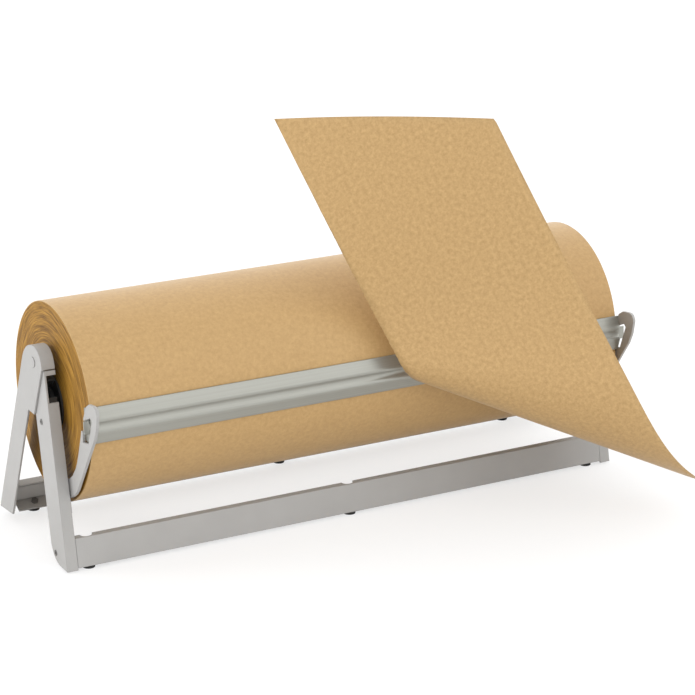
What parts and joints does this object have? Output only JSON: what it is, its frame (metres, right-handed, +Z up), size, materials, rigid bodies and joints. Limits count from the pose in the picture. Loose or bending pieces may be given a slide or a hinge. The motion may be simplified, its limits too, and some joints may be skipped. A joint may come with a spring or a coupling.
{
  "type": "roll paper cutter",
  "caption": "Counter-top stand that holds a wide roll of wrapping paper on a lift-out shaft, with a sprung ribbed bar that presses on the roll for tearing off sheets.",
  "frame": {"origin": "on the counter, centre of the underside of the middle front foot, half way along the roll", "axes": "+X along the roll to the right end seen from the front, +Y to the rear, +Z up; paper is pulled towards -Y"},
  "size_m": [0.6561, 0.3662, 0.4486],
  "materials": {
    "grey_powder_coat": "satin powder coat",
    "zinc_plated_steel": "dull zinc",
    "bright_steel": "bright drawn",
    "satin_steel_strip": "satin rolled",
    "black_plastic": "moulded",
    "black_rubber": "moulded",
    "grey_board": "wound board",
    "kraft_paper": "matte kraft"
  },
  "bodies": {
    "frame": {"rear_leg_left": "grey_powder_coat", "front_leg_left": "grey_powder_coat", "shaft_saddle_left": "black_plastic", "head_rivet_left": "grey_powder_coat", "saddle_rivet_left": "zinc_plated_steel", "front_rivet_left": "zinc_plated_steel", "front_bracket_left": "grey_powder_coat", "rear_bracket_left": "grey_powder_coat", "pivot_pin_left": "grey_powder_coat", "hinge_plate_left": "grey_powder_coat", "rear_leg_right": "grey_powder_coat", "front_leg_right": "grey_powder_coat", "shaft_saddle_right": "black_plastic", "head_rivet_right": "grey_powder_coat", "saddle_rivet_right": "zinc_plated_steel", "front_rivet_right": "zinc_plated_steel", "front_bracket_right": "grey_powder_coat", "rear_bracket_right": "grey_powder_coat", "pivot_pin_right": "grey_powder_coat", "hinge_plate_right": "grey_powder_coat", "front_rail": "grey_powder_coat", "rear_rail": "grey_powder_coat", "front_foot_left": "black_rubber", "front_foot_screw_left": "zinc_plated_steel", "rear_foot_left": "black_rubber", "rear_foot_screw_left": "zinc_plated_steel", "front_foot_middle": "black_rubber", "front_foot_screw_middle": "zinc_plated_steel", "rear_foot_middle": "black_rubber", "rear_foot_screw_middle": "zinc_plated_steel", "front_foot_right": "black_rubber", "front_foot_screw_right": "zinc_plated_steel", "rear_foot_right": "black_rubber", "rear_foot_screw_right": "zinc_plated_steel", "shaft": "bright_steel"},
    "roll": {"paper_roll": "kraft_paper", "core_tube": "grey_board", "core_plug_left": "black_plastic", "core_plug_right": "black_plastic"},
    "cutter": {"cutter_bar": "satin_steel_strip", "arm_left": "grey_powder_coat", "arm_right": "grey_powder_coat"},
    "sheet": {"paper_sheet": "kraft_paper"}
  },
  "joints": [
    {"name": "roll_spin", "type": "hinge", "parent": "frame", "child": "roll", "pos_m": [0, 0.0623, 0.1577], "axis": [1, 0, 0], "continuous": true},
    {"name": "blade_swing", "type": "hinge", "parent": "frame", "child": "cutter", "pos_m": [0, 0.0193, 0.08], "axis": [1, 0, 0], "range_deg": [0, 60], "stiffness_Nm_per_rad": 0.6, "springref_deg": -68.75},
    {"name": "sheet_pull", "type": "slide", "parent": "frame", "child": "sheet", "axis": [0, -1, 0], "range_m": [0, 0.27]}
  ],
  "couplings": [
    {"joint": "sheet_pull", "follows": "blade_swing", "m_per_rad": 0.25}
  ]
}
